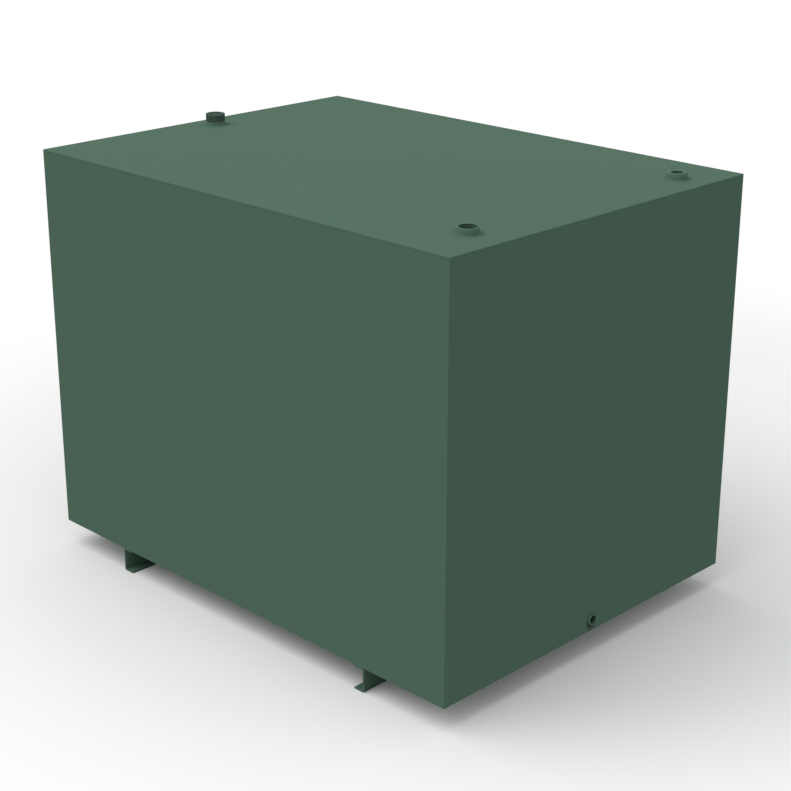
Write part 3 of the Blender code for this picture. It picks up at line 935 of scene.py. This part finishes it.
def studio_floor():
    """A pale floor that shows the tank's soft shadow; a white glow in it, slight near the tank and whole
    far away, is painted light that lightens that shadow and turns the floor plain white.
    Past the tank's edges the light of the room comes through it, so the walls are lit evenly."""
    deselect_all()
    bpy.ops.mesh.primitive_plane_add(size=FLOOR_SIZE, location=(0, 0, 0))
    floor = bpy.context.object
    floor.name = "studio_floor"
    material = bpy.data.materials.new("studio_floor")
    material.use_nodes = True
    tree = material.node_tree
    tree.nodes.clear()
    out = tree.nodes.new("ShaderNodeOutputMaterial")
    rays = tree.nodes.new("ShaderNodeLightPath")
    place = tree.nodes.new("ShaderNodeTexCoord")

    near = plain_shader(tree, "ShaderNodeBsdfDiffuse", FLOOR_COLOUR)
    white = plain_shader(tree, "ShaderNodeEmission", 1.0)
    away = tree.nodes.new("ShaderNodeVectorMath")
    away.operation = "DISTANCE"
    away.inputs[1].default_value = FLOOR_FADE_CENTRE
    fade = tree.nodes.new("ShaderNodeMapRange")
    fade.interpolation_type = "SMOOTHSTEP"
    fade.inputs["From Min"].default_value = FLOOR_FADE_START
    fade.inputs["From Max"].default_value = FLOOR_FADE_END
    fade.inputs["To Min"].default_value = FLOOR_PAINTED_GLOW
    tree.links.new(place.outputs["Object"], away.inputs[0])
    tree.links.new(away.outputs["Value"], fade.inputs["Value"])
    shown = blend(tree, fade.outputs["Result"], near, white)

    half = tree.nodes.new("ShaderNodeVectorMath")
    half.operation = "ABSOLUTE"
    split = tree.nodes.new("ShaderNodeSeparateXYZ")
    tree.links.new(place.outputs["Object"], half.inputs[0])
    tree.links.new(half.outputs[0], split.inputs[0])
    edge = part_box("floor_plate")[HIGH]
    past_end = reckon(tree, "GREATER_THAN", split.outputs["X"], edge.x)
    past_side = reckon(tree, "GREATER_THAN", split.outputs["Y"], edge.y)
    under = plain_shader(tree, "ShaderNodeBsdfDiffuse", FLOOR_UNDER_TANK)
    open_floor = tree.nodes.new("ShaderNodeBsdfTransparent").outputs[0]
    bounce = blend(tree, reckon(tree, "MAXIMUM", past_end, past_side), under, open_floor)

    seen = reckon(tree, "MAXIMUM", rays.outputs["Is Camera Ray"], rays.outputs["Is Glossy Ray"])
    tree.links.new(blend(tree, seen, bounce, shown), out.inputs["Surface"])
    floor.data.materials.append(material)


def white_room():
    """Soft light from all round; the camera and reflections see plain white."""
    world = bpy.data.worlds.new("white_room")
    bpy.context.scene.world = world
    world.use_nodes = True
    tree = world.node_tree
    sky = tree.nodes["Background"]
    sky.inputs["Color"].default_value = (1, 1, 1, 1)
    sky.inputs["Strength"].default_value = SKY_STRENGTH
    white = plain_shader(tree, "ShaderNodeBackground", 1.0)
    rays = tree.nodes.new("ShaderNodeLightPath").outputs
    seen = reckon(tree, "MAXIMUM", rays["Is Camera Ray"], rays["Is Glossy Ray"])
    seen = reckon(tree, "MAXIMUM", seen, rays["Is Transmission Ray"])
    tree.links.new(blend(tree, seen, sky.outputs[0], white), tree.nodes["World Output"].inputs["Surface"])


def soft_sun():
    """One broad soft lamp, high on the left in front of the tank."""
    lamp = bpy.data.lights.new("soft_sun", "SUN")
    lamp.energy = SUN_STRENGTH
    lamp.angle = math.radians(SUN_ANGLE)
    holder = bpy.data.objects.new("soft_sun", lamp)
    bpy.context.scene.collection.objects.link(holder)
    holder.rotation_euler = Vector(SUN_DIRECTION).to_track_quat("Z", "Y").to_euler()


def photo_camera():
    """The photograph's view: turned about the upright axis, then tilted down."""
    lens = bpy.data.cameras.new("photo_camera")
    lens.lens = LENS
    lens.sensor_width = SENSOR_WIDTH
    lens.shift_x, lens.shift_y = CAMERA_SHIFT
    camera = bpy.data.objects.new("photo_camera", lens)
    bpy.context.scene.collection.objects.link(camera)
    turn = Matrix.Rotation(math.radians(CAMERA_TURN), 3, "Z")
    tilt = Matrix.Rotation(math.radians(90 - CAMERA_DOWN), 3, "X")
    camera.rotation_euler = (turn @ tilt).to_euler()
    camera.location = CAMERA_PLACE
    bpy.context.scene.camera = camera


def dress_nodes(groups, steel):
    """Gives each node that stays its finish."""
    low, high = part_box("front_wall")
    plates = plate_paint(groups, (0, 0, (low.z + high.z) / 2))
    rolled = plain_paint("bearer_paint", groups, GREEN)
    for part in frame["record"]["subparts"]:
        name = part["node"]
        material = plates
        if part["material_slot"] == "mill_steel":
            material = steel
        elif name.endswith("bearer"):
            material = rolled
        mesh = frame["nodes"][name].data
        mesh.materials.clear()
        mesh.materials.append(material)


bpy.context.scene.view_settings.view_transform = "Standard"
photo_camera()
white_room()
soft_sun()
studio_floor()

groups = {
    "coat": paint_coat_group(),
    "steel": mill_scale_group(),
    "inward": inward_mask_group(),
    "upward": upward_painted_shading_group(),
    "foot": foot_shade_group(),
}
steel = bare_steel(groups)
weld = weld_paint("painted_weld", groups, GREEN)
# The welds round the top sockets take the fill socket's lighter green: painted light
socket_weld = weld_paint("painted_socket_weld", groups, FILL_SOCKET_GREEN_PAINTED_LIGHT)
dress_nodes(groups, steel)
# Painted shade: the threads in the top sockets' bores are a darker green
thread_paint = plain_paint("top_thread_painted_shade", groups, TOP_THREAD_PAINTED_SHADE)
top_fittings = (
    ("vent_socket", VENT_THREAD, VENT_MOUTH, FITTING_GREEN_PAINTED_LIGHT),
    ("gauge_socket", GAUGE_THREAD, GAUGE_MOUTH, FITTING_GREEN_PAINTED_LIGHT),
    ("fill_socket", FILL_THREAD, FILL_MOUTH, FILL_SOCKET_GREEN_PAINTED_LIGHT),
)
for node, bore, mouth, colour in top_fittings:
    top_fitting(node, bore, mouth, colour, groups, thread_paint)
    top_weld(node, socket_weld)
screwed_cap(cap_coating())
# Painted shade: the outlet's bore and thread are a darker green
outlet_fitting(groups, plain_paint("outlet_thread_painted_shade", groups, OUTLET_THREAD_PAINTED_SHADE))
for node in ("left_bearer", "right_bearer"):
    bearer_stitches(node, weld)
body_seams(weld)
